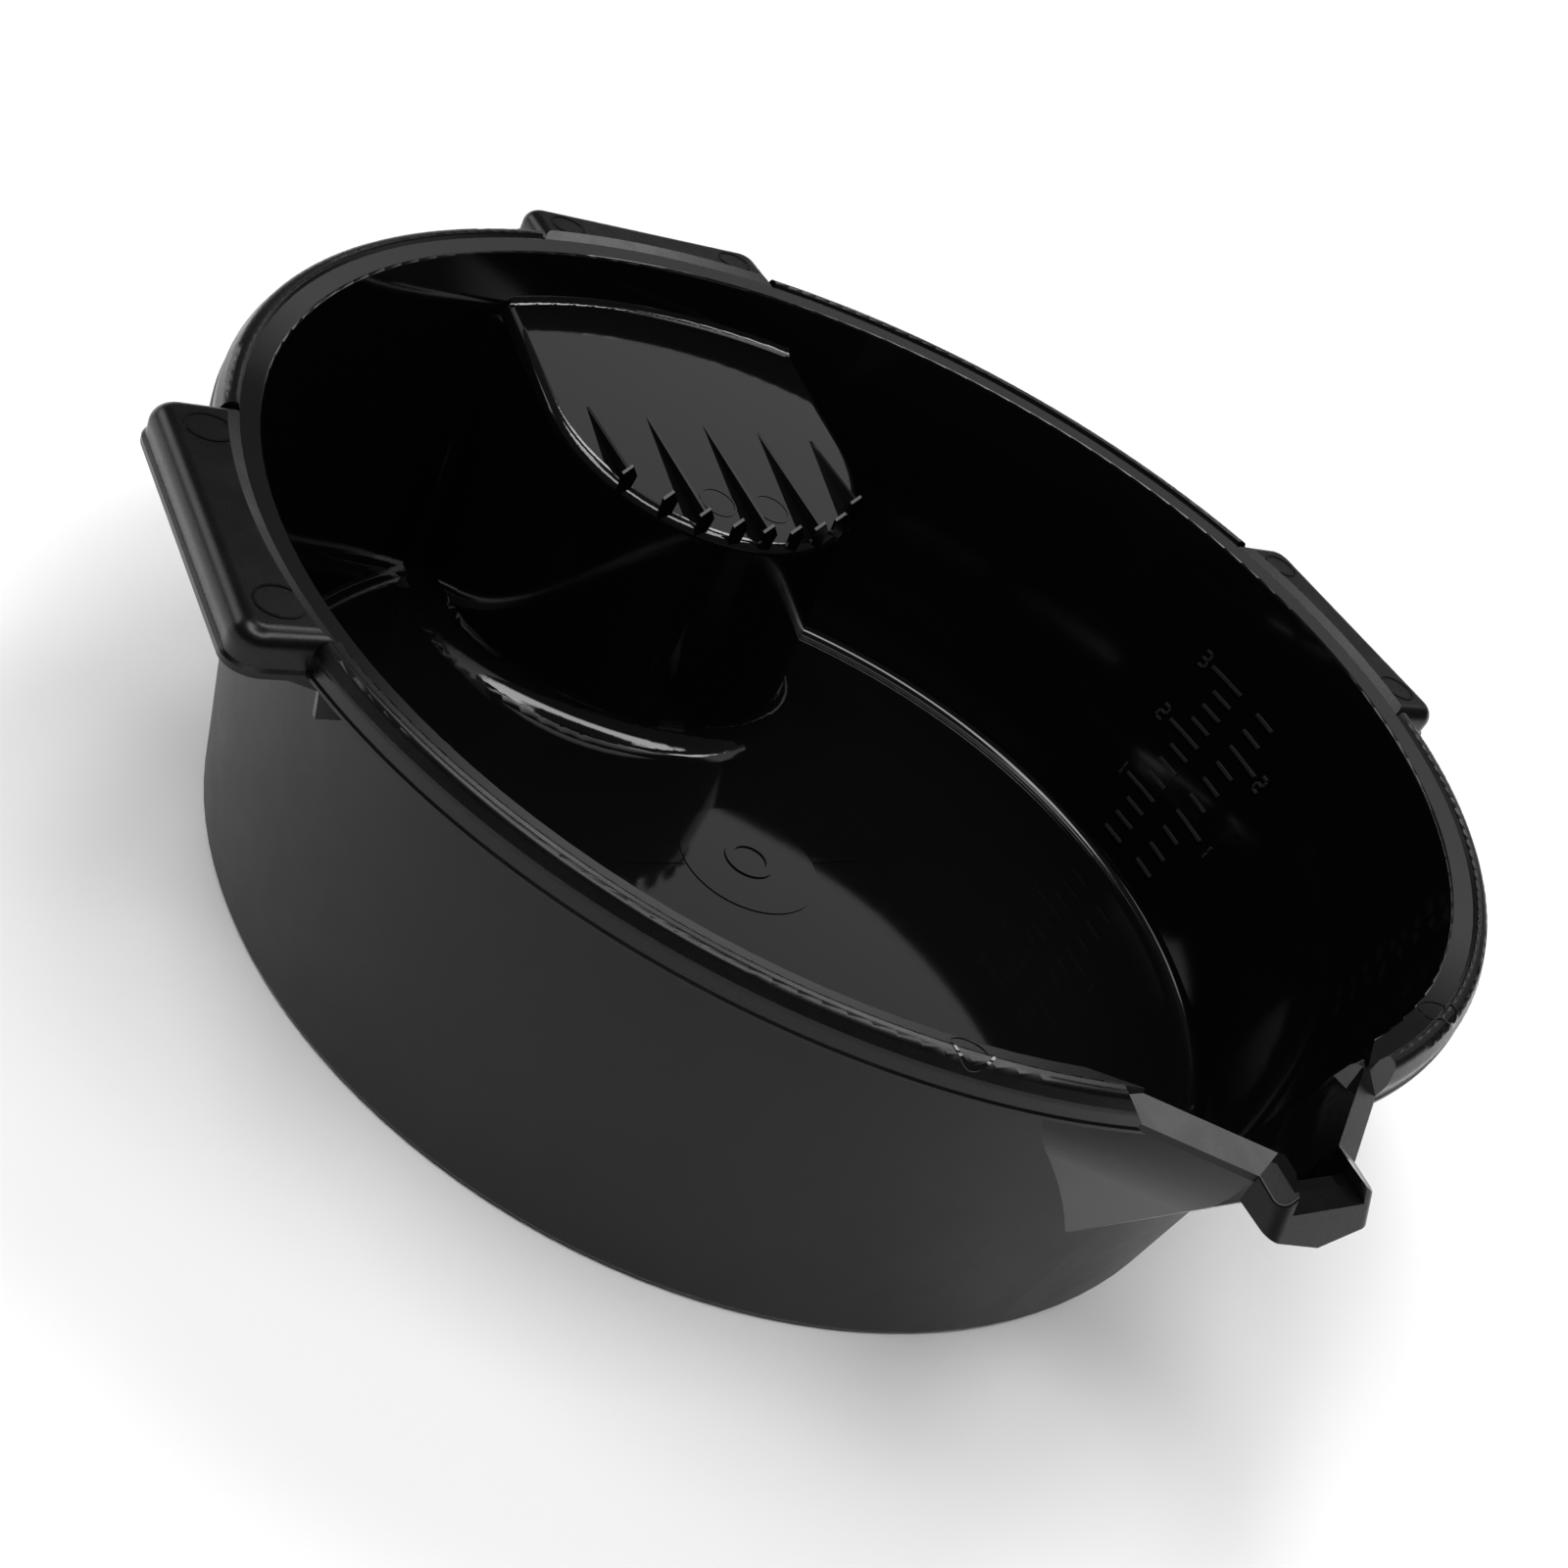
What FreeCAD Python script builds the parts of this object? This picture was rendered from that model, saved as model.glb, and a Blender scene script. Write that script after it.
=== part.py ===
"""Oil drain pan: a round one-piece moulding with a pour spout, three grip lugs and a filter-draining shelf.

Millimetres, +Z up. The pan stands on Z = 0 and the origin is under the middle of its footprint.
The spout points along +X and the shelf is on the -X side. The moulding's named features are
separate solids that meet face to face.
"""
import FreeCAD
import Part
import math
import os
from FreeCAD import Rotation, Vector

# ---- driving dimensions -------------------------------------------------------------------------
EDGE_Z = 144.5           # height of the bowl's inner top edge
BORE_R = 220.0           # radius of that edge
FLOOR_R = 201.5          # inside radius where wall and floor would meet
SKIN = 3.0               # wall, floor and pedestal thickness
FOOT_R = 194.0           # inner radius of the flat ring that the pan stands on
CROWN = 9.0              # rise of the floor at its centre
FLOOR_FILLET = 5.5
BASE_ROUND = 4.0
DISC_R = 29.0            # smooth disc in the middle of the floor
DISC_PROUD = 0.4
GATE_R = 10.3            # ring left where the plastic entered the mould
GATE_W = 3.3
GATE_PROUD = 1.0
FLOW_START = (29.5, 1.4)                   # distance and half-width of a flow line at its inner end
FLOW_END = (54.0, 0.5)

LIP_R = 227.0            # crease between the sloping lip and the bead
LIP_RISE = 1.95
BEAD_R = 234.0           # outside of the bead's skirt
BEAD_TOP = 4.1           # bead height above the inner edge
SKIRT_DEPTH = 7.4        # bead skirt's lower edge, below the inner edge
SKIRT_T = 2.4
BEAD_END = 12.8          # azimuth at which the bead slopes away beside the spout
BEAD_END_SLOPE = 1.0
BEAD_CLOSE = 1.2         # degrees of bead that are filled in beside the spout

LUG_U = 247.6            # radial distance of a lug's straight face
LUG_ROOT = 180.0         # rear of the lug's block, inside the bowl, before the bowl is taken away
LUG_HALF = 57.0
LUG_TOP = 4.0
LUG_DEPTH = 9.0
LUG_T = 2.6
LUG_CORNER = 9.0
LUG_ROLL = 6.0
LUG_EDGE = 0.9           # outward lip round the lug's lower edge
LUG_EDGE_H = 2.8
LUG_AZIMUTHS = {"left": 90.0, "right": -90.0, "rear": 180.0}
STEP_R = 231.0           # top of the step between lip and lug plate
GUSSET_T = 2.2
GUSSET_PROFILE = ((200.0, -3.0), (235.0, -3.0), (235.0, -8.5), (222.0, -13.0), (220.6, -22.5), (200.0, -22.5))

MARK_W = 0.8             # ejector marks: thin raised circles
MARK_PROUD = 0.25
LUG_MARK = (233.0, 41.0, 7.5)              # radial distance, sideways distance and radius on a lug
SHELF_MARK = (-98.5, 12.5, 8.0)            # x, y and radius on the shelf
RIM_MARK = (226.6, 25.0, 6.4)              # radial distance, azimuth and radius on the rim

PED_X = -147.0           # centre of the pedestal's round front
PED_FOOT = 78.6          # pedestal half-width at the floor
PED_TOP = 71.6           # and at the height of its front edge
PED_FRONT_Z = 106.3
FOOT_FILLET = 12.0
SHELF_Z = 125.1          # shelf height at the rear wall
SHELF_SLOPE = 0.13       # fall per millimetre towards +X
SHELF_ROUND = 5.0
SHELF_COVE = 3.2
CORNER_WEB = 5.0         # radius between the pedestal's sides and the wall
SHELF_NODE_T = 5.6       # depth of the shelf piece under its top plane
PED_ZONE = 93.0          # half-width of the zone that belongs to the pedestal

RIB_PITCH = 26.7
RIB_T = 1.5
RIB_START_X = -146.0
RIB_H = 6.5
RIB_COUNT = 5
SPIKE_PITCH = 13.35
SPIKE_H = 9.5
SPIKE_W = 6.0
SPIKE_T = 1.6
SPIKE_COUNT = 9

SPOUT_TIP_X = 266.0
SPOUT_V = ((211.5, 60.6), (246.0, 12.5))   # inner top edge of the spout's left side, in plan
SPOUT_FOLD = (252.7, -4.0)                 # x, and height from the inner edge, where the outlet starts
SPOUT_RAKE = 0.577                         # run of the sloping front per millimetre of height
SPOUT_DRAFT = 6.5
SPOUT_FACET = 26.0
SPOUT_FACET_Z = -24.0
SPOUT_BLEND = 70.0                         # rounding between the upper and lower side faces
CHANNEL_HALF = 11.2
FLANGE_W = 7.0
FLANGE_FALL = 0.60
COLLAR_CREASE = (249.5, 19.4)              # outer end of the crease between flange and collar, in plan
COLLAR_FALL = (0.09, 0.551)                # fall of the collar's top along the spout and to the side
COLLAR_HALF = 21.0                         # half-width at the lower edge
COLLAR_FLARE = (0.45, 0.15)                # outward run of the front and the sides per millimetre of depth
COLLAR_CORNER = 4.5
COLLAR_ROUND = 1.2
COLLAR_SIDE_DEPTH = -13.0
COLLAR_TIP_DEPTH = -17.0
OUTLET_END_Z = -8.0
OUTLET_TIP_HALF = 16.5                     # the outlet widens to this half-width at the tip

LITRE = 1.0e6            # cubic millimetres
US_QUART = 0.946353 * LITRE
UK_QUART = 1.1365225 * LITRE
US_MARKS = 12
UK_MARKS = 10
QUARTS_PER_GALLON = 4
TICK_LONG = 20.0
TICK_SHORT = 12.0
TICK_H = 1.3
TICK_PROUD = 0.9
SCALE_GAP = 6.0          # from the scale's centre line to either column
SCALE_AZIMUTH = 90.0

FAR = 600.0              # larger than the pan, for cutting blocks
TAKEN_TOP = 3.2          # depth of rim material that stays over the spout's outer skin
FOOTPRINT_SHIFT = -(SPOUT_TIP_X - LUG_U - LUG_EDGE) / 2

WALL_LEAN = (BORE_R - FLOOR_R) / (EDGE_Z - SKIN)
WALL_RUN = SKIN * math.hypot(1.0, WALL_LEAN)
CROWN_R = (FOOT_R ** 2 + CROWN ** 2) / (2 * CROWN)
PED_DRAFT = (PED_FOOT - PED_TOP) / (PED_FRONT_Z - SKIN)
UP = Vector(0, 0, 1)


# ---- helpers ------------------------------------------------------------------------------------
def inner_radius(z):
    """Radius of the bowl's inner wall at height z."""
    return FLOOR_R + (z - SKIN) * WALL_LEAN


def shelf_height(x):
    return SHELF_Z - SHELF_SLOPE * (x + BORE_R)


def crown_height(radius):
    """Height of the floor's upper face."""
    return SKIN + CROWN - CROWN_R + math.sqrt(CROWN_R ** 2 - radius ** 2)


def rounded_wire(corners, place):
    """Closed wire through corners (a, b) or (a, b, radius); place turns (a, b) into a point."""
    count = len(corners)
    points = [Vector(c[0], c[1], 0) for c in corners]
    radii = [c[2] if len(c) > 2 else 0.0 for c in corners]
    stops = []
    for i in range(count):
        here = points[i]
        back = (points[i - 1] - here).normalize()
        ahead = (points[(i + 1) % count] - here).normalize()
        if radii[i] == 0.0:
            stops.append((here, None, here))
            continue
        half = back.getAngle(ahead) / 2
        run = radii[i] / math.tan(half)
        middle = (back + ahead).normalize()
        crest = here + middle * (radii[i] / math.sin(half) - radii[i])
        stops.append((here + back * run, crest, here + ahead * run))
    edges = []
    for i in range(count):
        first, crest, last = stops[i]
        if crest is not None:
            edges.append(Part.Arc(place(first), place(crest), place(last)).toShape())
        following = stops[(i + 1) % count][0]
        if last.distanceToPoint(following) > 1e-6:
            edges.append(Part.LineSegment(place(last), place(following)).toShape())
    return Part.Wire(edges)


def upright(point):
    """Profile point (radius, height) in the XZ plane."""
    return Vector(point.x, 0, point.y)


def turned(corners, angle=360.0):
    """Solid of revolution about Z from a profile of (radius, height, rounding) corners."""
    return Part.Face(rounded_wire(corners, upright)).revolve(Vector(), UP, angle)


def raised(corners, low, high):
    """Upright prism on a plan of (x, y, rounding) corners."""
    wire = rounded_wire(corners, lambda p: Vector(p.x, p.y, low))
    return Part.Face(wire).extrude(Vector(0, 0, high - low))


def below(shape, point, normal):
    """The part of shape on the inner side of a plane."""
    block = Part.makeBox(2 * FAR, 2 * FAR, FAR, Vector(-FAR, -FAR, 0))
    block.Placement = FreeCAD.Placement(point, Rotation(UP, normal))
    return shape.cut(block)


def mirrored(shape):
    """The shape's twin on the other side of the pan's long centre plane."""
    return shape.mirror(Vector(), Vector(0, 1, 0))


def ring_mark(radius, x, y, z, height, width=MARK_W):
    """Upright tube with its foot centred on a point."""
    outer = Part.makeCylinder(radius, height, Vector(x, y, z))
    return outer.cut(Part.makeCylinder(radius - width, height, Vector(x, y, z)))


def domed_slab(offset):
    """Everything under the floor's upper face, lowered by offset."""
    mid = FOOT_R / 2
    crest = Vector(0, 0, SKIN + CROWN - offset)
    rim = Vector(FOOT_R, 0, SKIN - offset)
    outer = Vector(FAR / 2, 0, SKIN - offset)
    arc = Part.Arc(crest, Vector(mid, 0, crown_height(mid) - offset), rim).toShape()
    ring = [rim, outer, Vector(FAR / 2, 0, -FAR / 10), Vector(0, 0, -FAR / 10), crest]
    lines = [Part.LineSegment(a, b).toShape() for a, b in zip(ring, ring[1:])]
    return Part.Face(Part.Wire([arc] + lines)).revolve(Vector(), UP, 360)


def u_plan(half_width, z):
    """Pedestal outline: a half circle at the front and straight sides running to the rear."""
    rear = -FAR / 2
    front = Vector(PED_X + half_width, 0, z)
    left, right = Vector(PED_X, half_width, z), Vector(PED_X, -half_width, z)
    back_left, back_right = Vector(rear, half_width, z), Vector(rear, -half_width, z)
    edges = [Part.Arc(right, front, left).toShape()]
    for a, b in ((left, back_left), (back_left, back_right), (back_right, right)):
        edges.append(Part.LineSegment(a, b).toShape())
    return Part.Wire(edges)


def u_block(offset, low=-20.0, high=170.0):
    """Tapering pedestal block, moved inwards by offset."""
    wires = [u_plan(PED_FOOT - offset - (z - SKIN) * PED_DRAFT, z) for z in (low, high)]
    return Part.makeLoft(wires, True, True)


def under_shelf(shape, drop):
    """The part of shape lower than the shelf's top plane less drop."""
    normal = Vector(SHELF_SLOPE, 0, 1)
    return below(shape, Vector(-BORE_R, 0, SHELF_Z - drop), normal)


def on_floor_edges(shape, offset):
    """Edges where the pedestal's front and sides meet the floor."""
    found = []
    for edge in shape.Edges:
        box = edge.BoundBox
        flat = box.ZMax < SKIN + CROWN - offset + 0.5 and box.ZMin > SKIN - offset - 0.5
        if flat and abs(box.YMax) < PED_FOOT + 3 and abs(box.YMin) < PED_FOOT + 3:
            found.append(edge)
    return found


def shelf_rim_edges(shape):
    """Top edges of the pedestal, along its front and sides."""
    found = []
    for edge in shape.Edges:
        middle = edge.valueAt((edge.FirstParameter + edge.LastParameter) / 2)
        near_top = abs(middle.z - shelf_height(middle.x)) < 4.0
        if near_top and middle.x > -FAR / 2 + 1 and edge.BoundBox.ZLength < 40:
            found.append(edge)
    return found


def pedestal_form(offset):
    """Floor and pedestal as one filled body, moved inwards by offset."""
    block = under_shelf(u_block(offset), offset)
    if offset < SHELF_ROUND:
        block = block.makeFillet(SHELF_ROUND - offset, shelf_rim_edges(block))
    body = domed_slab(offset).fuse(block)
    return body.makeFillet(FOOT_FILLET + offset, on_floor_edges(body, offset))


# ---- bowl ---------------------------------------------------------------------------------------
def bowl_outside():
    lip_under = LIP_RISE - SKIN - 0.05
    joint = -2.35
    return turned([
        (0, 0), (FLOOR_R + SKIN, 0, BASE_ROUND),
        (inner_radius(EDGE_Z + joint) + WALL_RUN, EDGE_Z + joint, 2.0),
        (LIP_R, EDGE_Z + lip_under), (LIP_R, EDGE_Z + 20), (0, EDGE_Z + 20)])


def bowl_inside():
    lip_slope = LIP_RISE / (LIP_R - BORE_R)
    reach = 20.0
    void = turned([
        (0, SKIN), (FLOOR_R, SKIN, FLOOR_FILLET), (BORE_R, EDGE_Z, 1.0),
        (BORE_R + reach, EDGE_Z + reach * lip_slope), (BORE_R + reach, FAR), (0, FAR)])
    return void.cut(domed_slab(0.0))


def shelf_cove(inside):
    """Rounded junction between the shelf's top plane and the rear wall."""
    normal = Vector(-SHELF_SLOPE, 0, -1)
    above = below(inside, Vector(-BORE_R, 0, SHELF_Z), normal)
    rim = [e for e in above.Edges if abs(e.BoundBox.Center.z - shelf_height(0)) < 3.0]
    rounded = above.makeFillet(SHELF_COVE, rim)
    band = above.cut(rounded)
    return band.common(under_shelf(u_block(2.0), -SHELF_COVE - 1))


def corner_webs(outside):
    """Quarter-round webs in the corners between the pedestal's sides and the wall."""
    webs = []
    for side in (1, -1):
        wires = []
        for z in (-1.0, 150.0):
            half = PED_FOOT - (z - SKIN) * PED_DRAFT
            wall = inner_radius(z)
            centre_y = half + CORNER_WEB
            centre_x = -math.sqrt((wall - CORNER_WEB) ** 2 - centre_y ** 2)
            scale = wall / (wall - CORNER_WEB)
            on_side = Vector(centre_x, side * half, z)
            on_wall = Vector(centre_x * scale, side * centre_y * scale, z)
            towards = (on_side + on_wall) * 0.5 - Vector(centre_x, side * centre_y, z)
            crest = Vector(centre_x, side * centre_y, z) + towards.normalize() * CORNER_WEB
            heel = Vector(-wall - 4, side * (half - 4), z)
            edges = [Part.Arc(on_side, crest, on_wall).toShape()]
            outer = on_wall * 1.02
            outer.z = z
            inner = Vector(centre_x, side * (half - 4), z)
            for a, b in ((on_wall, outer), (outer, heel), (heel, inner), (inner, on_side)):
                edges.append(Part.LineSegment(a, b).toShape())
            wires.append(Part.Wire(edges))
        webs.append(under_shelf(Part.makeLoft(wires, True, True), SHELF_ROUND))
    return webs[0].fuse(webs[1]).common(outside)


# ---- spout --------------------------------------------------------------------------------------
def spout_side(side):
    """Point on the spout's inner top edge and its outward direction in plan."""
    (x0, y0), (x1, y1) = SPOUT_V
    outward = Vector(y0 - y1, x1 - x0, 0).normalize()
    return Vector(x1, side * y1, EDGE_Z), Vector(outward.x, side * outward.y, 0)


def leaning(outward, degrees):
    """Normal of a face that leans inwards as it goes down."""
    angle = math.radians(degrees)
    return outward * math.cos(angle) - UP * math.sin(angle)


def spout_body(offset, top):
    """Beak-shaped body of the spout, its faces moved outwards by offset."""
    fold = Vector(SPOUT_FOLD[0], 0, EDGE_Z + SPOUT_FOLD[1])
    rake = Vector(1, 0, -SPOUT_RAKE).normalize()
    channel = Part.makeBox(40, 2 * (CHANNEL_HALF + offset), 30 + top - EDGE_Z,
                           Vector(228, -CHANNEL_HALF - offset, EDGE_Z - 30))
    point, outward = spout_side(1)
    draft = leaning(outward, SPOUT_DRAFT)
    facet = leaning(outward, SPOUT_FACET)
    knee = point + UP * SPOUT_FACET_Z
    knee = knee + outward * (SPOUT_FACET_Z * math.tan(math.radians(SPOUT_DRAFT)))
    half = Part.makeBox(100, 200, 140, Vector(190, -100, top - 140))
    half = below(half, point + draft * offset, draft)
    half = below(half, knee + facet * offset, facet)
    crease = []
    for edge in half.Edges:
        middle = edge.valueAt((edge.FirstParameter + edge.LastParameter) / 2)
        if abs(middle.z - knee.z) < 6.0 and edge.Length > 50 and abs(edge.tangentAt(0).z) < 0.1:
            if edge.distToShape(Part.Vertex(knee))[0] < offset + 3.0:
                crease.append(edge)
    half = half.makeFillet(SPOUT_BLEND + offset, crease)
    body = half.common(mirrored(half)).fuse(channel)
    return below(body, fold + rake * offset, rake).removeSplitter()


def under_flange(shape, drop):
    """The part of shape lower than both flange planes less drop."""
    for side in (1, -1):
        point, outward = spout_side(side)
        shape = below(shape, point - UP * drop, outward * FLANGE_FALL + UP)
    return shape


def past_crease(shape):
    """The part of shape on the tip's side of the creases between the flanges and the collar."""
    start_x, start_y = SPOUT_V[1]
    end_x, end_y = COLLAR_CREASE
    for side in (1, -1):
        rearward = Vector(start_y - end_y, side * (end_x - start_x), 0)
        shape = below(shape, Vector(start_x, side * start_y, 0), rearward)
    return shape


def under_collar(shape, drop):
    """The part of shape lower than the collar's top faces less drop."""
    along, across = COLLAR_FALL
    for side in (1, -1):
        point = spout_side(side)[0] - UP * drop
        shape = below(shape, point, Vector(along, side * across, 1))
    return shape


def outlet_void(widen, drop):
    """Space over the outlet's sloping floor, which widens towards the tip."""
    fold_x, fold_z = SPOUT_FOLD
    slope = (fold_z - OUTLET_END_Z) / (SPOUT_TIP_X - fold_x)
    rear, far_tip = fold_x - 8, 2 * SPOUT_TIP_X - fold_x
    half = CHANNEL_HALF + widen
    tip_half = 2 * OUTLET_TIP_HALF - CHANNEL_HALF + widen
    plan = [(rear, -half), (fold_x, -half), (far_tip, -tip_half), (far_tip, tip_half), (fold_x, half), (rear, half)]
    block = raised(plan, EDGE_Z - 30, EDGE_Z + 30)
    start = Vector(fold_x, 0, EDGE_Z + fold_z - drop)
    return below(block, start, Vector(-slope, 0, -1))


def collar_block(inset, lift):
    """Flared block of the collar, its faces moved inwards by inset and its top lowered by lift."""
    front, flank = COLLAR_FLARE
    foot = EDGE_Z + COLLAR_SIDE_DEPTH
    size = 2 * COLLAR_HALF
    rear = SPOUT_TIP_X - size
    shape = Part.makeBox(2 * size, 2 * size, size, Vector(rear, -size, foot - size / 2))
    shape = below(shape, Vector(SPOUT_TIP_X - inset, 0, EDGE_Z + COLLAR_TIP_DEPTH), Vector(1, 0, front))
    for side in (1, -1):
        shape = below(shape, Vector(0, side * (COLLAR_HALF - inset), foot), Vector(0, side, flank))
    corners = [e for e in shape.Edges if e.BoundBox.ZLength > size - 1 and e.BoundBox.XMin > rear + 1]
    shape = shape.makeFillet(COLLAR_CORNER - inset, corners)
    return under_collar(past_crease(shape), lift)


def spout_collar(outer):
    """Square collar round the tip, hollow underneath."""
    keel = (COLLAR_SIDE_DEPTH - COLLAR_TIP_DEPTH) / COLLAR_HALF
    collar = collar_block(0.0, 0.0)
    brim = []
    for edge in collar.Edges:
        middle = edge.valueAt((edge.FirstParameter + edge.LastParameter) / 2)
        outer_rim = middle.x > COLLAR_CREASE[0] + 0.5 and abs(middle.y) > 2.0
        if middle.z > EDGE_Z + COLLAR_SIDE_DEPTH and outer_rim and edge.BoundBox.ZLength < COLLAR_HALF / 2:
            brim.append(edge)
    collar = collar.makeFillet(COLLAR_ROUND, brim)
    for side in (1, -1):
        collar = below(collar, Vector(0, 0, EDGE_Z + COLLAR_TIP_DEPTH), Vector(0, side * keel, -1))
    hollow = collar_block(SKIRT_T, SKIRT_T).cut(outlet_void(SKIRT_T, SKIRT_T))
    return collar.cut(hollow).cut(outlet_void(0.0, 0.0)).cut(outer)


def spout_flange():
    """Narrow sloping flange along the spout's left side, from the lip to the collar."""
    (x0, y0), (x1, y1) = SPOUT_V
    point, outward = spout_side(1)
    front = point + Vector(x1 - x0, y1 - y0, 0) * 0.2
    rear = Vector(x0, y0, EDGE_Z)
    wide = outward * FLANGE_W
    strip = Part.Face(Part.makePolygon([rear, rear + wide, front + wide, front, rear]))
    strip.translate(UP * -2 * FLANGE_W)
    normal = outward * FLANGE_FALL + UP
    flange = below(strip.extrude(UP * 3 * FLANGE_W), point, normal)
    flange = below(flange, point - UP * SKIRT_T, -normal)
    flange = flange.cut(past_crease(flange))
    return flange.cut(Part.makeCylinder(LIP_R, FAR))


# ---- rim ----------------------------------------------------------------------------------------
def lug_frame(shape, azimuth):
    """Turns a shape made for the +X side to its azimuth."""
    turned_shape = shape.copy()
    turned_shape.rotate(Vector(), UP, azimuth)
    return turned_shape


def lug_plan(grow):
    return [(LUG_ROOT, -LUG_HALF - grow), (LUG_U + grow, -LUG_HALF - grow, LUG_CORNER + grow),
            (LUG_U + grow, LUG_HALF + grow, LUG_CORNER + grow), (LUG_ROOT, LUG_HALF + grow)]


def top_edges(block, top):
    """A lug block's top edges, apart from the one at its straight rear."""
    return [e for e in block.Edges if e.BoundBox.ZMin > top - 0.01 and e.BoundBox.XMax > LUG_ROOT + 1]


def lug_block(grow, low, top, roll):
    """Lug body with its top outer edge rolled over."""
    block = raised(lug_plan(grow), EDGE_Z + low, EDGE_Z + top)
    return block.makeFillet(roll, top_edges(block, EDGE_Z + top))


def grip_lug(outside):
    """One grip lug at azimuth 0: a flat plate with a skirt, open underneath for the fingers."""
    low = -LUG_DEPTH
    outer = lug_block(0.0, low, LUG_TOP, LUG_ROLL)
    edge = raised(lug_plan(LUG_EDGE), EDGE_Z + low, EDGE_Z + low + LUG_EDGE_H)
    edge = edge.makeChamfer(LUG_EDGE - 0.05, top_edges(edge, EDGE_Z + low + LUG_EDGE_H))
    keep = turned([(200, EDGE_Z + LIP_RISE - SKIN), (LIP_R + SKIN, EDGE_Z + LUG_TOP - LUG_T),
                   (LIP_R + SKIN, EDGE_Z + 20), (200, EDGE_Z + 20)])
    hollow = lug_block(-LUG_T, low - 5, LUG_TOP - LUG_T, LUG_ROLL - LUG_T).cut(keep)
    step = turned([(200, EDGE_Z + LIP_RISE), (LIP_R, EDGE_Z + LIP_RISE),
                   (STEP_R, EDGE_Z + LUG_TOP), (STEP_R, EDGE_Z + 10), (200, EDGE_Z + 10)])
    return outer.fuse(edge).cut(hollow).cut(step).cut(outside)


def lug_gussets(outside, lug):
    """Two narrow webs that carry one lug's sides down the wall, at azimuth 0."""
    points = [Vector(u, 0, EDGE_Z + z) for u, z in GUSSET_PROFILE]
    plate = Part.Face(Part.makePolygon(points + [points[0]])).extrude(Vector(0, GUSSET_T, 0))
    webs = []
    for start in (LUG_HALF - GUSSET_T, -LUG_HALF):
        web = plate.copy()
        web.translate(Vector(0, start, 0))
        webs.append(web.cut(outside).cut(lug))
    return webs


def bead_ring():
    """Rolled bead and short skirt round the rim."""
    under = EDGE_Z + LIP_RISE - SKIN - 0.05
    foot = EDGE_Z - SKIRT_DEPTH
    return turned([
        (LIP_R, under), (LIP_R, EDGE_Z + LIP_RISE),
        (LIP_R + 0.9, EDGE_Z + BEAD_TOP + 0.1, 1.3), (LIP_R + 4.6, EDGE_Z + BEAD_TOP - 0.5, 3.0),
        (BEAD_R, EDGE_Z - 1.0, 3.0), (BEAD_R, foot + 1.8), (BEAD_R + 0.6, foot + 1.1),
        (BEAD_R + 0.6, foot), (BEAD_R - SKIRT_T, foot), (BEAD_R - SKIRT_T, EDGE_Z + 0.6, 1.2)])


def bead_filling(outside):
    """The space between the bead's skirt and the wall."""
    foot = EDGE_Z - SKIRT_DEPTH
    roof = EDGE_Z + LIP_RISE
    filled = turned([(LIP_R - 2 * SKIRT_DEPTH, foot), (BEAD_R - 1, foot), (BEAD_R - 1, roof - 1),
                     (LIP_R + 1, roof - 1), (LIP_R - 2 * SKIRT_DEPTH, roof - SKIN)])
    return filled.cut(outside)


def bead_stops(filling):
    """End walls that close the channel under the bead on both sides of a lug at azimuth 0."""
    sides = []
    for start in (LUG_HALF, -LUG_HALF - SKIRT_T):
        sides.append(Part.makeBox(FAR, SKIRT_T, FAR, Vector(LUG_ROOT, start, 0)))
    return filling.common(sides[0].fuse(sides[1]))


def lug_marks():
    """Raised circles on the plate of a lug at azimuth 0."""
    along, across, radius = LUG_MARK
    plate = Part.makeCylinder(STEP_R + 0.2, 2 * LUG_TOP, Vector(0, 0, EDGE_Z))
    level = EDGE_Z + LUG_TOP
    return [ring_mark(radius, along, side * across, level, MARK_PROUD).cut(plate) for side in (1, -1)]


def rim_mark(rim):
    """Raised circle across the lip and the bead on the left of the spout."""
    distance, azimuth, radius = RIM_MARK
    turn = math.radians(azimuth)
    tube = ring_mark(radius, distance * math.cos(turn), distance * math.sin(turn), EDGE_Z - 1, 2 * BEAD_TOP)
    lifted = rim.copy()
    lifted.translate(Vector(0, 0, MARK_PROUD))
    return tube.common(lifted).cut(rim)


def sector(low_azimuth, high_azimuth):
    """Tall wedge between two azimuths."""
    corners = [Vector(0, 0, 0)]
    steps = 4
    for i in range(steps + 1):
        angle = math.radians(low_azimuth + (high_azimuth - low_azimuth) * i / steps)
        corners.append(Vector(FAR * math.cos(angle), FAR * math.sin(angle), 0))
    return Part.Face(Part.makePolygon(corners + [corners[0]])).extrude(Vector(0, 0, FAR))


# ---- shelf details ------------------------------------------------------------------------------
def shelf_ribs(base):
    """Wedge ribs that rise towards the shelf's front edge."""
    ribs = []
    for k in range(RIB_COUNT):
        y = (k - (RIB_COUNT - 1) / 2) * RIB_PITCH
        reach = PED_X + math.sqrt((PED_TOP - 1.5) ** 2 - y * y)
        low = shelf_height(reach) - 8
        wire = Part.makePolygon([
            Vector(RIB_START_X, 0, shelf_height(RIB_START_X)), Vector(reach, 0, shelf_height(reach) + RIB_H),
            Vector(reach, 0, low), Vector(RIB_START_X, 0, low),
            Vector(RIB_START_X, 0, shelf_height(RIB_START_X))])
        rib = Part.Face(wire).extrude(Vector(0, RIB_T, 0))
        rib.translate(Vector(0, y - RIB_T / 2, 0))
        ribs.append(rib.cut(base))
    return ribs


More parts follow.
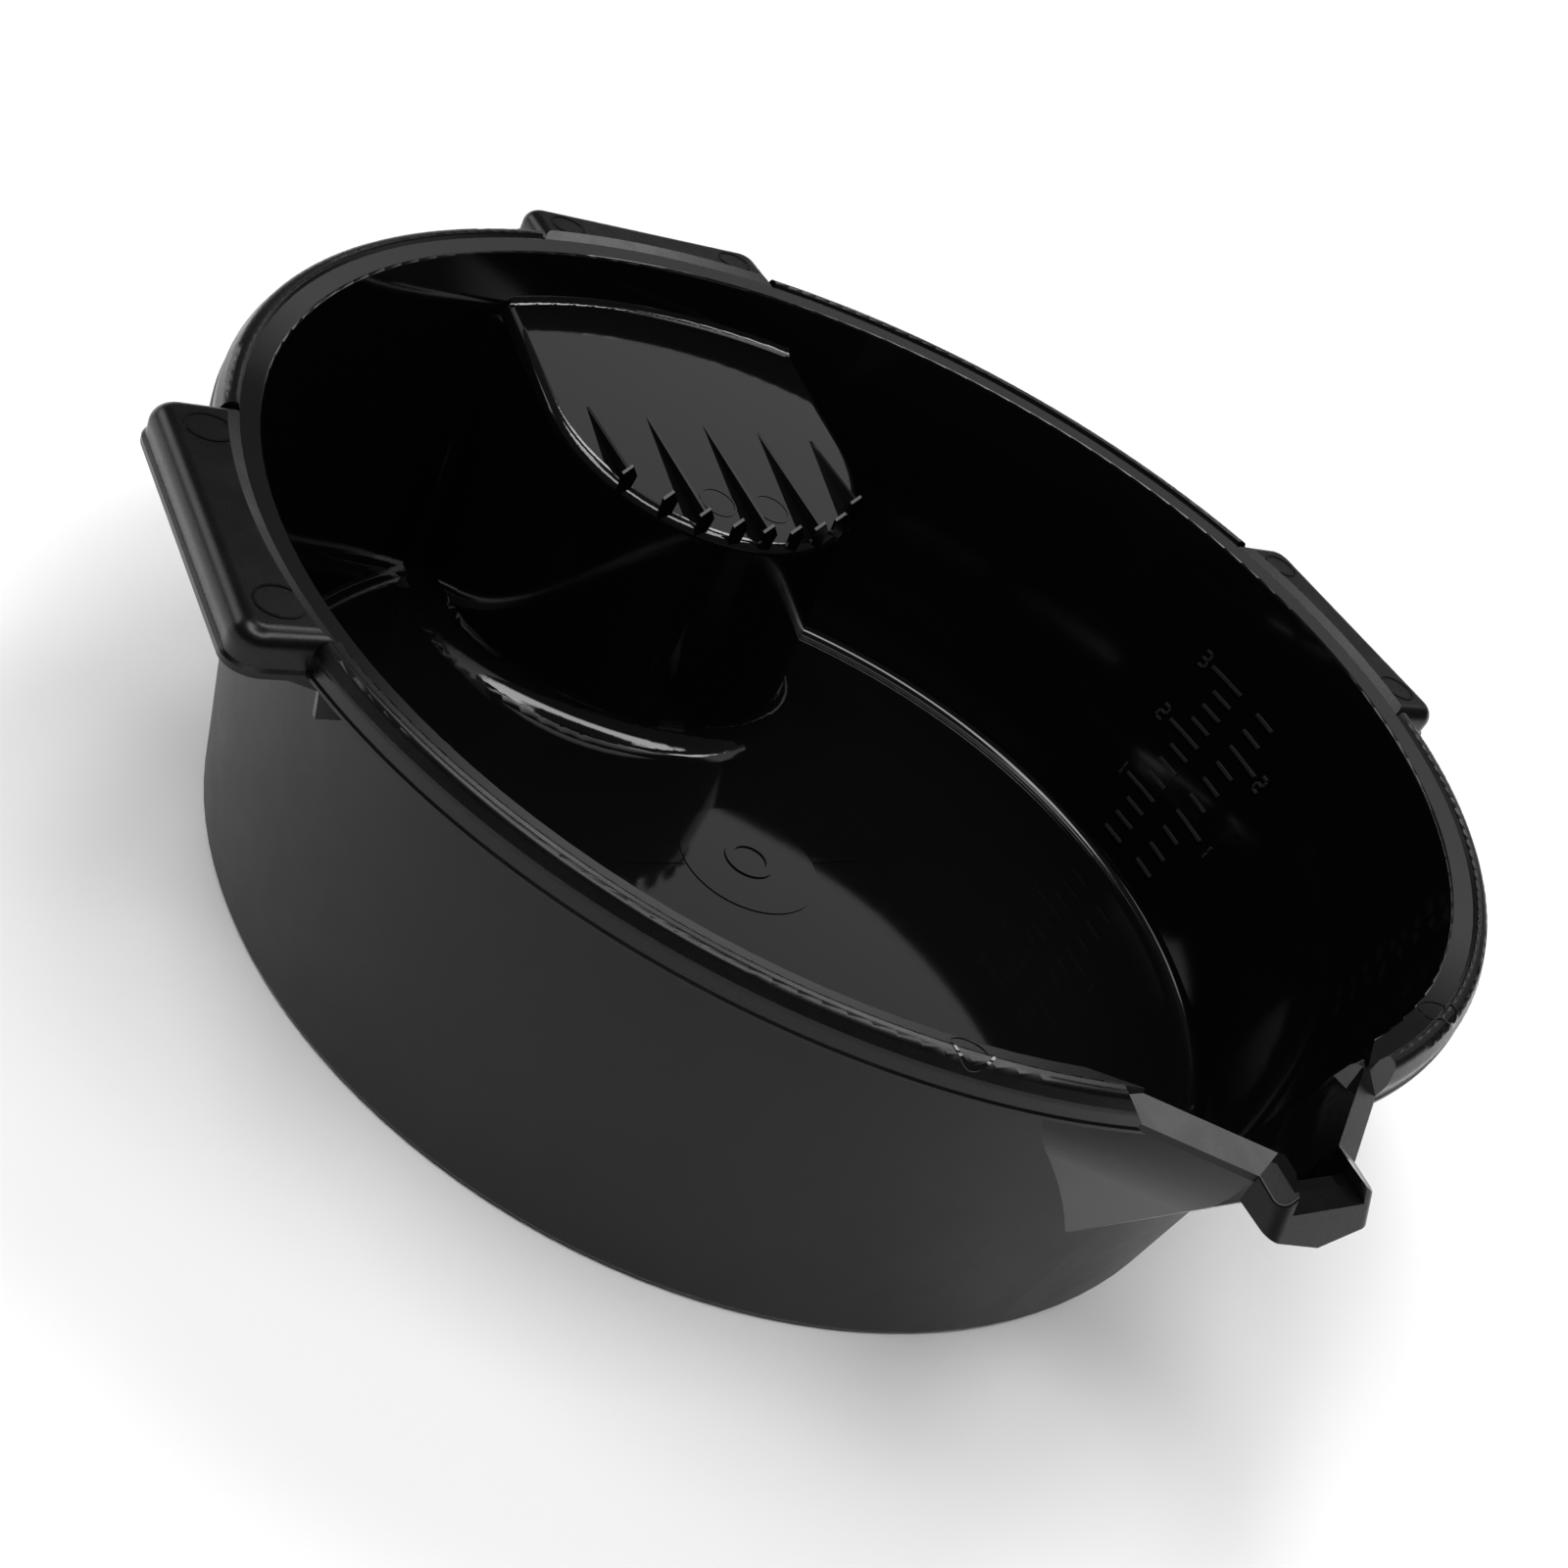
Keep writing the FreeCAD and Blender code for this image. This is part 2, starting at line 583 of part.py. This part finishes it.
def shelf_spikes(base, ribs):
    """Pointed teeth along the shelf's front edge."""
    teeth = []
    for k in range(SPIKE_COUNT):
        y = (k - (SPIKE_COUNT - 1) / 2) * SPIKE_PITCH
        reach = PED_X + math.sqrt((PED_TOP - 0.6) ** 2 - y * y)
        z = shelf_height(reach)
        half = SPIKE_W / 2
        wire = Part.makePolygon([
            Vector(reach, -half * 0.6, z - 7), Vector(reach, half * 0.6, z - 7),
            Vector(reach, half, z + SPIKE_H * 0.6), Vector(reach, 0, z + SPIKE_H),
            Vector(reach, -half, z + SPIKE_H * 0.6), Vector(reach, -half * 0.6, z - 7)])
        tooth = Part.Face(wire).extrude(Vector(-SPIKE_T, 0, 0))
        tooth.translate(Vector(0, y, 0))
        tooth = tooth.cut(base)
        for rib in ribs:
            tooth = tooth.cut(rib)
        teeth.append(tooth)
    return teeth


# ---- volume scale -------------------------------------------------------------------------------
def fill_volume(z):
    """Approximate oil volume up to height z, less the pedestal."""
    wall = inner_radius(z)
    low = FLOOR_R
    bowl = math.pi * (z - SKIN) * (wall ** 2 + wall * low + low ** 2) / 3
    dome = math.pi * CROWN * FOOT_R ** 2 / 2
    half = (PED_FOOT + PED_TOP) / 2
    block = (math.pi * half ** 2 / 2 + 2 * half * 58.0) * (z - SKIN)
    return bowl - dome - block


def fill_height(volume):
    """Height that holds a volume, by bisection."""
    low, high = SKIN, EDGE_Z
    for _ in range(40):
        middle = (low + high) / 2
        if fill_volume(middle) < volume:
            low = middle
        else:
            high = middle
    return (low + high) / 2


def wall_bar(z, height, length, azimuth):
    """Raised bar on the inner wall, its length measured round the wall."""
    def face(level, proud):
        return (inner_radius(level) - proud, level)
    corners = [face(z - height / 2, 0.0), face(z + height / 2, 0.0),
               face(z + height / 2, TICK_PROUD), face(z - height / 2, TICK_PROUD)]
    angle = math.degrees(length / inner_radius(z))
    bar = turned(corners, angle)
    bar.rotate(Vector(), UP, azimuth)
    return bar


def scale_column(quart, marks, side):
    """Graduations on one side of the scale's centre line."""
    bars = []
    for i in range(1, marks + 1):
        z = fill_height(i * quart)
        length = TICK_LONG if i % QUARTS_PER_GALLON == 0 else TICK_SHORT
        gap = math.degrees(SCALE_GAP / inner_radius(z))
        span = math.degrees(length / inner_radius(z))
        start = SCALE_AZIMUTH + gap if side > 0 else SCALE_AZIMUTH - gap - span
        bars.append(wall_bar(z, TICK_H, length, start))
    return bars


SEGMENTS = {1: "bc", 2: "abged", 3: "abgcd"}
DIGIT_H = 7.0
DIGIT_W = 4.0
STROKE = 1.0


def digit(number, z, azimuth):
    """A plain block numeral on the inner wall, read from inside the bowl."""
    places = {"a": (0, 1), "g": (0, 0), "d": (0, -1), "b": (1, 0.5), "c": (1, -0.5),
              "f": (-1, 0.5), "e": (-1, -0.5)}
    radius = inner_radius(z)
    bars = []
    for name in SEGMENTS[number]:
        across, up = places[name]
        level = z + up * DIGIT_H / 2
        if across == 0:
            width, height = DIGIT_W - STROKE, STROKE
        else:
            width, height = STROKE, DIGIT_H / 2 - STROKE
        middle = azimuth - math.degrees(across * DIGIT_W / 2 / radius)
        bars.append(wall_bar(level, height, width, middle - math.degrees(width / 2 / radius)))
    return bars


def scale_numerals():
    bars = []
    for quart, marks, side in ((US_QUART, US_MARKS, 1), (UK_QUART, UK_MARKS, -1)):
        for gallon in range(1, marks // QUARTS_PER_GALLON + 1):
            z = fill_height(gallon * QUARTS_PER_GALLON * quart)
            reach = (SCALE_GAP + TICK_LONG + 5.0) / inner_radius(z)
            bars += digit(gallon, z, SCALE_AZIMUTH + side * math.degrees(reach))
    return bars


# ---- assembly -----------------------------------------------------------------------------------
def floor_nodes(floor):
    """The floor, its centre disc, the ring at the gate and the two flow lines."""
    crown = SKIN + CROWN
    core = Part.makeCylinder(DISC_R, 2 * FLOOR_R, Vector(0, 0, -FLOOR_R))
    lifted = floor.common(core)
    lifted.translate(Vector(0, 0, DISC_PROUD))
    disc = floor.common(core).fuse(lifted).removeSplitter()
    ring = ring_mark(GATE_R, 0, 0, crown - SKIN / 4, SKIN / 4 + GATE_PROUD, GATE_W).cut(disc)
    lines = []
    for side in (1, -1):
        (near, wide), (far, thin) = FLOW_START, FLOW_END
        corners = [Vector(-wide, side * near, SKIN), Vector(wide, side * near, SKIN),
                   Vector(thin, side * far, SKIN), Vector(-thin, side * far, SKIN)]
        bar = Part.Face(Part.makePolygon(corners + [corners[0]])).extrude(UP * (2 * CROWN))
        lines.append(bar.common(domed_slab(-MARK_PROUD)).cut(domed_slab(0.0)))
    return {"pan_floor": floor.cut(core), "floor_centre_disc": disc, "gate_ring": ring,
            "floor_flow_lines": Part.makeCompound(lines)}


def bowl_nodes(outside, inside, filled):
    """The wall, the floor and the pedestal with its shelf, as separate solids of one moulding."""
    pan = filled.fuse(outside.cut(inside)).fuse(corner_webs(outside)).fuse(shelf_cove(inside))
    pan = pan.cut(pedestal_form(SKIN))
    reach = PED_X + PED_ZONE
    corner = PED_ZONE - 0.5
    plan = [(-FAR / 2, -PED_ZONE), (reach, -PED_ZONE, corner), (reach, PED_ZONE, corner), (-FAR / 2, PED_ZONE)]
    zone = under_shelf(raised(plan, -SKIN, EDGE_Z), 0.0)
    pedestal = pan.common(zone)
    deck = pedestal.common(u_block(0.0)).cut(under_shelf(u_block(-SKIN), SHELF_NODE_T))
    rest = pan.cut(zone)
    drum = Part.makeCylinder(FOOT_R, EDGE_Z / 2, Vector(0, 0, -SKIN))
    nodes = {"filter_shelf": deck, "filter_pedestal": pedestal.cut(deck)}
    nodes.update(floor_nodes(rest.common(drum)))
    outer = spout_body(SKIN, EDGE_Z + 12)
    skin = outer.cut(Part.makeBox(FAR, FAR, FAR, Vector(0, -FAR / 2, EDGE_Z - TAKEN_TOP)))
    nodes["pan_wall"] = rest.cut(drum).cut(skin).cut(spout_body(0.0, EDGE_Z + 12))
    return nodes


def spout_nodes(wall, inside):
    """The trough, its two flanges and the collar round the outlet."""
    outer = spout_body(SKIN, EDGE_Z + 12)
    inner = spout_body(0.0, EDGE_Z + 13)
    flange = spout_flange()
    flanges = {"spout_flange_left": flange, "spout_flange_right": mirrored(flange)}
    front = past_crease(outer)
    trough = under_flange(outer.cut(front), 0.0).fuse(under_collar(front, 0.0))
    for taken in (inner, inside, outlet_void(0.0, 0.0), wall, *flanges.values()):
        trough = trough.cut(taken)
    return {"spout_trough": trough, "spout_lip": spout_collar(outer), **flanges}


def rim_nodes(outside, wall, flange):
    """Three grip lugs with their webs, and the bead in four lengths between them."""
    lug = grip_lug(outside)
    gussets = lug_gussets(outside, lug)
    filling = bead_filling(outside)
    stops = bead_stops(filling)
    notch = Part.makeBox(FAR, 2 * LUG_HALF, FAR, Vector(LUG_ROOT, -LUG_HALF, 0))
    nodes = {}
    webs = []
    marks = []
    bead = bead_ring()
    for name, azimuth in LUG_AZIMUTHS.items():
        nodes["grip_lug_" + name] = lug_frame(lug, azimuth)
        webs += [lug_frame(web, azimuth) for web in gussets]
        marks += [lug_frame(mark, azimuth) for mark in lug_marks()]
        bead = bead.cut(lug_frame(notch, azimuth)).fuse(lug_frame(stops, azimuth))
    for azimuth in LUG_AZIMUTHS.values():
        bead = bead.cut(lug_frame(lug, azimuth))
    nodes["lug_gussets"] = Part.makeCompound(webs)

    angle = math.radians(BEAD_END)
    end_point = Vector(BEAD_R * math.cos(angle), BEAD_R * math.sin(angle), EDGE_Z)
    end_normal = Vector(math.sin(angle), -math.cos(angle), BEAD_END_SLOPE)
    bead = bead.cut(Part.makeBox(FAR, FAR, FAR, Vector(-FAR / 2, -FAR, 0)))
    for end, low, high in (("front", BEAD_END - 3, 88), ("rear", 92, 178)):
        quarter = bead.common(sector(low, high))
        if end == "front":
            quarter = quarter.fuse(filling.common(sector(low, BEAD_END + BEAD_CLOSE)))
            quarter = below(quarter, end_point, end_normal).cut(flange).cut(wall)
            mark = rim_mark(wall.fuse(quarter))
            marks += [mark, mirrored(mark)]
        nodes["rim_bead_" + end + "_left"] = quarter
        nodes["rim_bead_" + end + "_right"] = mirrored(quarter)
    return nodes, marks


def shelf_nodes(filled):
    """Ribs and spikes that hold a filter up, and the raised circles on the shelf."""
    ribs = shelf_ribs(filled)
    x, y, radius = SHELF_MARK
    marks = []
    for side in (1, -1):
        mark = ring_mark(radius, x, side * y, shelf_height(x) - SKIN, 2 * SKIN)
        mark = under_shelf(mark, -MARK_PROUD).cut(under_shelf(u_block(0.0), 0.0))
        for rib in ribs:
            mark = mark.cut(rib)
        marks.append(mark)
    spikes = Part.makeCompound(shelf_spikes(filled, ribs))
    return {"shelf_ribs": Part.makeCompound(ribs), "shelf_spikes": spikes}, marks


def build():
    outside = bowl_outside()
    inside = bowl_inside()
    filled = pedestal_form(0.0).common(outside)
    nodes = bowl_nodes(outside, inside, filled)
    nodes.update(spout_nodes(nodes["pan_wall"], inside))
    rim, rim_marks = rim_nodes(outside, nodes["pan_wall"], nodes["spout_flange_left"])
    shelf, shelf_marks = shelf_nodes(filled)
    nodes.update(rim)
    nodes.update(shelf)
    nodes["ejector_marks"] = Part.makeCompound(rim_marks + shelf_marks)
    nodes["scale_ticks_us"] = Part.makeCompound(scale_column(US_QUART, US_MARKS, 1))
    nodes["scale_ticks_uk"] = Part.makeCompound(scale_column(UK_QUART, UK_MARKS, -1))
    nodes["scale_numerals"] = Part.makeCompound(scale_numerals())
    return nodes


def main():
    os.makedirs("parts", exist_ok=True)
    for name, shape in build().items():
        shape.translate(Vector(FOOTPRINT_SHIFT, 0, 0))
        shape.exportStep("parts/" + name + ".step")
        print(f"{name:22s} solids {len(shape.Solids):3d}  volume {shape.Volume:9.0f}  valid {shape.isValid()}")


main()
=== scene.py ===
"""Looks of the oil drain pan: one black polypropylene moulding on a pale floor."""
import math

import bpy
from mathutils import Matrix, Vector


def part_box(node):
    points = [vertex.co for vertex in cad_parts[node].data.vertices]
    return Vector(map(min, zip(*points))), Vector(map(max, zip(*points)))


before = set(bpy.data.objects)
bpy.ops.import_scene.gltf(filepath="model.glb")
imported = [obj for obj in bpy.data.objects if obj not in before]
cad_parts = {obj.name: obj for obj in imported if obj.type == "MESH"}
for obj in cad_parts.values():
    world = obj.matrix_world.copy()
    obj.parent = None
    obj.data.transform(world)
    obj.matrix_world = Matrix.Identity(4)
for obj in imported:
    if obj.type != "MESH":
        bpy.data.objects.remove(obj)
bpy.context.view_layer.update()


def middle(node):
    """Centre of a CAD node's box."""
    low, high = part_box(node)
    return (low + high) / 2


LUG_ABOVE_EDGE = 0.004       # the grip lugs' tops stand this far above the bowl's inner edge

AXIS = middle("floor_centre_disc")                      # the bowl's axis passes through this point
EDGE_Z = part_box("grip_lug_left")[1].z - LUG_ABOVE_EDGE  # height of the bowl's inner edge

# ---- camera: metres and degrees -----------------------------------------------------------------
CAMERA_DISTANCE = 0.660      # from the middle of the rim
CAMERA_AZIMUTH = -43.5       # where the camera stands, seen from the bowl's axis
CAMERA_HEIGHT = 0.2906       # above the rim
LOOK_AZIMUTH = 136.705
LOOK_DOWN = 32.977
CAMERA_ROLL = 28.53
FIELD_OF_VIEW = 45.30
CAMERA_NEAREST = 0.01        # nothing closer than this is drawn


def make_camera():
    """Camera near the spout's right-hand side, looking down into the bowl and rolled over."""
    ground = math.sqrt(CAMERA_DISTANCE ** 2 - CAMERA_HEIGHT ** 2)
    stand = math.radians(CAMERA_AZIMUTH)
    place = Vector((
        AXIS.x + ground * math.cos(stand),
        AXIS.y + ground * math.sin(stand),
        EDGE_Z + CAMERA_HEIGHT,
    ))
    turn, dip, roll = (math.radians(a) for a in (LOOK_AZIMUTH, LOOK_DOWN, CAMERA_ROLL))
    forward = Vector((math.cos(turn) * math.cos(dip), math.sin(turn) * math.cos(dip), -math.sin(dip)))
    level_right = forward.cross(Vector((0, 0, 1))).normalized()
    level_up = level_right.cross(forward)
    right = level_right * math.cos(roll) + level_up * math.sin(roll)
    up = right.cross(forward)
    axes = Matrix((right, up, -forward)).transposed().to_4x4()
    camera = bpy.data.objects.new("camera", bpy.data.cameras.new("camera"))
    bpy.context.scene.collection.objects.link(camera)
    camera.matrix_world = Matrix.Translation(place) @ axes
    camera.data.angle = math.radians(FIELD_OF_VIEW)
    camera.data.clip_start = CAMERA_NEAREST
    bpy.context.scene.camera = camera


# ---- node trees ---------------------------------------------------------------------------------
OUTWARD_FROM = 0.80          # cosine between a surface's normal and the way out from the bowl's axis,
OUTWARD_FULL = 0.90          # where a surface starts to count as outside and where it fully does


class Nodes:
    """Small helper for building the node tree of a material or of the world."""

    def __init__(self, owner):
        self.owner = owner
        owner.use_nodes = True
        self.tree = owner.node_tree
        self.tree.nodes.clear()

    def feed(self, socket, value):
        """Gives a socket another node's output, or a constant."""
        if isinstance(value, bpy.types.NodeSocket):
            self.tree.links.new(value, socket)
        else:
            socket.default_value = value

    def add(self, kind, settings=None, **inputs):
        """Adds a node, its inputs given by name."""
        node = self.tree.nodes.new(kind)
        for key, value in (settings or {}).items():
            setattr(node, key, value)
        for key, value in inputs.items():
            self.feed(node.inputs[key.replace("_", " ")], value)
        return node

    def compute(self, kind, operation, *values):
        """Adds a maths node, its inputs given in their order."""
        node = self.add(kind, {"operation": operation})
        for socket, value in zip(node.inputs, values):
            self.feed(socket, value)
        return node

    def math(self, operation, *values):
        return self.compute("ShaderNodeMath", operation, *values).outputs[0]

    def vector(self, operation, *values):
        return self.compute("ShaderNodeVectorMath", operation, *values)

    def noise(self, scale, detail, roughness=0.5, distortion=0.0):
        where = self.add("ShaderNodeTexCoord").outputs["Object"]
        node = self.add("ShaderNodeTexNoise", Vector=where, Scale=scale, Detail=detail,
                        Roughness=roughness, Distortion=distortion)
        return node.outputs["Fac"]

    def wrapped(self, degrees):
        """An angle brought into -180...180."""
        return self.math("WRAP", degrees, 180.0, -180.0)

    def span(self, value, low, high, from_low=0.0, from_high=1.0):
        """A value between from_low and from_high, stretched to run from low to high."""
        node = self.add("ShaderNodeMapRange", Value=value, From_Min=from_low, From_Max=from_high,
                        To_Min=low, To_Max=high)
        return node.outputs["Result"]

    def outward(self):
        """1 on surfaces that face away from the bowl's axis, 0 on those inside."""
        geometry = self.add("ShaderNodeNewGeometry")
        away = self.vector("SUBTRACT", geometry.outputs["Position"], (AXIS.x, AXIS.y, 0))
        flat = self.vector("MULTIPLY", away.outputs[0], (1, 1, 0))
        unit = self.vector("NORMALIZE", flat.outputs[0])
        cosine = self.vector("DOT_PRODUCT", geometry.outputs["Normal"], unit.outputs[0]).outputs["Value"]
        return self.span(cosine, 0.0, 1.0, OUTWARD_FROM, OUTWARD_FULL)

    def finish(self, shader):
        """Sends the shader to the owner's output."""
        is_world = isinstance(self.owner, bpy.types.World)
        out = self.add("ShaderNodeOutputWorld" if is_world else "ShaderNodeOutputMaterial")
        self.tree.links.new(shader.outputs[0], out.inputs["Surface"])
        return self.owner


# ---- materials ----------------------------------------------------------------------------------
BLACK = (0.0022, 0.0022, 0.0024)
PLASTIC_IOR = 1.5
SMOOTH_SHINE = 0.5           # specular level of smooth plastic
OUTSIDE_TINT = 1.6           # the grained outside scatters a little more light
OUTSIDE_SHINE = 0.22         # and mirrors less
OUTSIDE_DULLEST = 0.40       # roughness that the grain adds, where it is strongest
OUTSIDE_BRIGHTEST = 0.30     # and where it is weakest
OUTSIDE_GRAIN = 0.12

CLOUD_SCALE = 9.0            # broad flow marks, per metre
SCUFF_SCALE = 60.0           # patches of uneven gloss
FINE_SCALE = 900.0           # surface grain of smooth plastic
COARSE_SCALE = 1500.0        # surface grain of the outside
CLOUD_TINT = (0.8, 1.25)     # the flow marks' range of shades
CLOUD_RELIEF = 0.25
SCUFF_GLOSS = (0.7, 1.35)    # the patches' range of roughness, as factors
FINE_GLOSS = (-0.01, 0.015)  # and what the grain adds to it
RELIEF_STRENGTH = 0.35
RELIEF_DEPTH = 0.0006        # metres


def black_plastic(name, gloss, grain, two_sided=False, shade=1.0, shine=SMOOTH_SHINE):
    """Moulded black polypropylene: slightly uneven gloss, faint flow marks and a fine surface grain.

    gloss is the roughness, grain the relief of the fine grain, shade a factor on the black and shine
    the specular level. A two-sided plastic is grained and dull where it faces out of the bowl.
    """
    n = Nodes(bpy.data.materials.new(name))
    cloud = n.noise(CLOUD_SCALE, 4.0)
    fine = n.noise(FINE_SCALE, 3.0, 0.6)
    scuff = n.noise(SCUFF_SCALE, 6.0, 0.65, 0.6)
    tint = n.span(cloud, *(factor * shade for factor in CLOUD_TINT))
    rough = n.math("ADD", n.span(scuff, *(gloss * factor for factor in SCUFF_GLOSS)), n.span(fine, *FINE_GLOSS))
    relief = n.math("ADD", n.math("MULTIPLY", cloud, CLOUD_RELIEF), n.math("MULTIPLY", fine, grain))
    if two_sided:
        outer = n.outward()
        dullness = n.span(scuff, OUTSIDE_BRIGHTEST, OUTSIDE_DULLEST)
        rough = n.math("ADD", rough, n.math("MULTIPLY", outer, dullness))
        coarse = n.noise(COARSE_SCALE, 2.0, 0.7)
        bumps = n.math("MULTIPLY", outer, n.math("MULTIPLY", coarse, OUTSIDE_GRAIN))
        relief = n.math("ADD", relief, bumps)
        tint = n.math("MULTIPLY", tint, n.span(outer, 1.0, OUTSIDE_TINT))
    colour = n.add("ShaderNodeCombineColor")
    for channel, black in enumerate(BLACK):
        n.feed(colour.inputs[channel], n.math("MULTIPLY", tint, black))
    bump = n.add("ShaderNodeBump", Strength=RELIEF_STRENGTH, Distance=RELIEF_DEPTH, Height=relief)
    shader = n.add("ShaderNodeBsdfPrincipled", Base_Color=colour.outputs[0], Roughness=rough,
                   IOR=PLASTIC_IOR, Specular_IOR_Level=shine, Normal=bump.outputs[0])
    if two_sided:
        n.feed(shader.inputs["Specular IOR Level"], n.span(outer, shine, OUTSIDE_SHINE))
    return n.finish(shader)


def dress():
    """Gives each CAD node its finish: the nodes whose names aren't listed here get the glossy inside."""
    inside = black_plastic("plastic_inside", gloss=0.06, grain=0.02)
    wall = black_plastic("plastic_wall", gloss=0.07, grain=0.02, two_sided=True)
    rim = black_plastic("plastic_rim", gloss=0.26, grain=0.05, shade=0.5, shine=0.26)
    # painted highlight: the scale ticks are the same black plastic, painted eight times lighter to stand in for
    # the light their glossy edges catch
    marks = black_plastic("plastic_marks_painted_highlight", gloss=0.30, grain=0.02, shade=8.0)
    finishes = (
        (("pan_wall", "spout_trough"), wall),
        (("grip_lug", "rim_bead", "spout_flange", "spout_lip", "lug_gussets"), rim),
        (("scale_",), marks),
    )
    for name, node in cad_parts.items():
        matching = [finish for beginnings, finish in finishes if name.startswith(beginnings)]
        node.data.materials.clear()
        node.data.materials.append(matching[0] if matching else inside)


# ---- floor --------------------------------------------------------------------------------------
FLOOR_HALF_SIZE = 30.0       # metres
FLOOR_TONES = (0.86, 0.88)
FLOOR_ROUGHNESS = 0.9
FLOOR_CLOUD_SCALE = 2.0


def make_floor():
    """Wide matt floor in two barely different pale tones."""
    corners = [(x * FLOOR_HALF_SIZE, y * FLOOR_HALF_SIZE, 0) for x, y in ((-1, -1), (1, -1), (1, 1), (-1, 1))]
    mesh = bpy.data.meshes.new("floor")
    mesh.from_pydata(corners, [], [(0, 1, 2, 3)])
    floor = bpy.data.objects.new("floor", mesh)
    bpy.context.scene.collection.objects.link(floor)
    n = Nodes(bpy.data.materials.new("pale_floor"))
    dark, light = ((tone, tone, tone, 1) for tone in FLOOR_TONES)
    clouds = n.noise(FLOOR_CLOUD_SCALE, 2.0)
    tone = n.add("ShaderNodeMix", {"data_type": "RGBA"}, Factor=clouds, A=dark, B=light)
    shader = n.add("ShaderNodeBsdfPrincipled", Base_Color=tone.outputs["Result"], Roughness=FLOOR_ROUGHNESS)
    mesh.materials.append(n.finish(shader))


# ---- light --------------------------------------------------------------------------------------
# Bright fields of the studio, seen from the pan, in degrees:
# azimuth, half-width, elevation, half-height, half-width of the soft edge; then the brightness
WINDOWS = {
    "back_wall": (127.0, 26.0, 43.0, 17.0, 3.0, 0.50),
    "lamp_left": (152.0, 9.0, 55.0, 6.0, 1.5, 8.0),
    "lamp_right": (119.0, 13.0, 55.0, 6.0, 1.5, 8.0),
    "side_lamp": (-148.0, 16.0, 24.0, 9.0, 3.0, 2.5),
    "ceiling_ring": (-44.0, 120.0, 66.0, 7.0, 2.0, 7.6),
}
SKY_LOW = 0.95               # brightness near the horizon
SKY_HIGH = 0.08              # and above it, between the bright fields
HORIZON_TOP = 3.0            # elevation where the horizon's brightness starts to fade
HORIZON_FADED = 11.0         # and where it has faded
DEGREES = 180 / math.pi      # in a radian


def make_light():
    """Dim studio: a white horizon, a grey wall behind the pan, three lamps and a broad ring overhead."""
    world = bpy.data.worlds.new("studio")
    bpy.context.scene.world = world
    n = Nodes(world)
    ray = n.add("ShaderNodeTexCoord").outputs["Generated"]
    split = n.add("ShaderNodeSeparateXYZ", Vector=ray)
    x, y, z = (split.outputs[i] for i in range(3))
    azimuth = n.math("MULTIPLY", n.math("ARCTAN2", y, x), DEGREES)
    elevation = n.math("MULTIPLY", n.math("ARCSINE", z), DEGREES)
    total = n.span(elevation, SKY_LOW, SKY_HIGH, HORIZON_TOP, HORIZON_FADED)
    for turn, half_width, rise, half_height, edge, power in WINDOWS.values():
        around = n.math("ABSOLUTE", n.wrapped(n.math("SUBTRACT", azimuth, turn)))
        across = n.span(around, 1.0, 0.0, half_width - edge, half_width + edge)
        above = n.math("ABSOLUTE", n.math("SUBTRACT", elevation, rise))
        along = n.span(above, 1.0, 0.0, half_height - edge, half_height + edge)
        total = n.math("ADD", total, n.math("MULTIPLY", n.math("MULTIPLY", across, along), power))
    n.finish(n.add("ShaderNodeBackground", Color=(1, 1, 1, 1), Strength=total))
    bpy.context.scene.view_settings.view_transform = "Standard"


make_camera()
make_floor()
make_light()
dress()
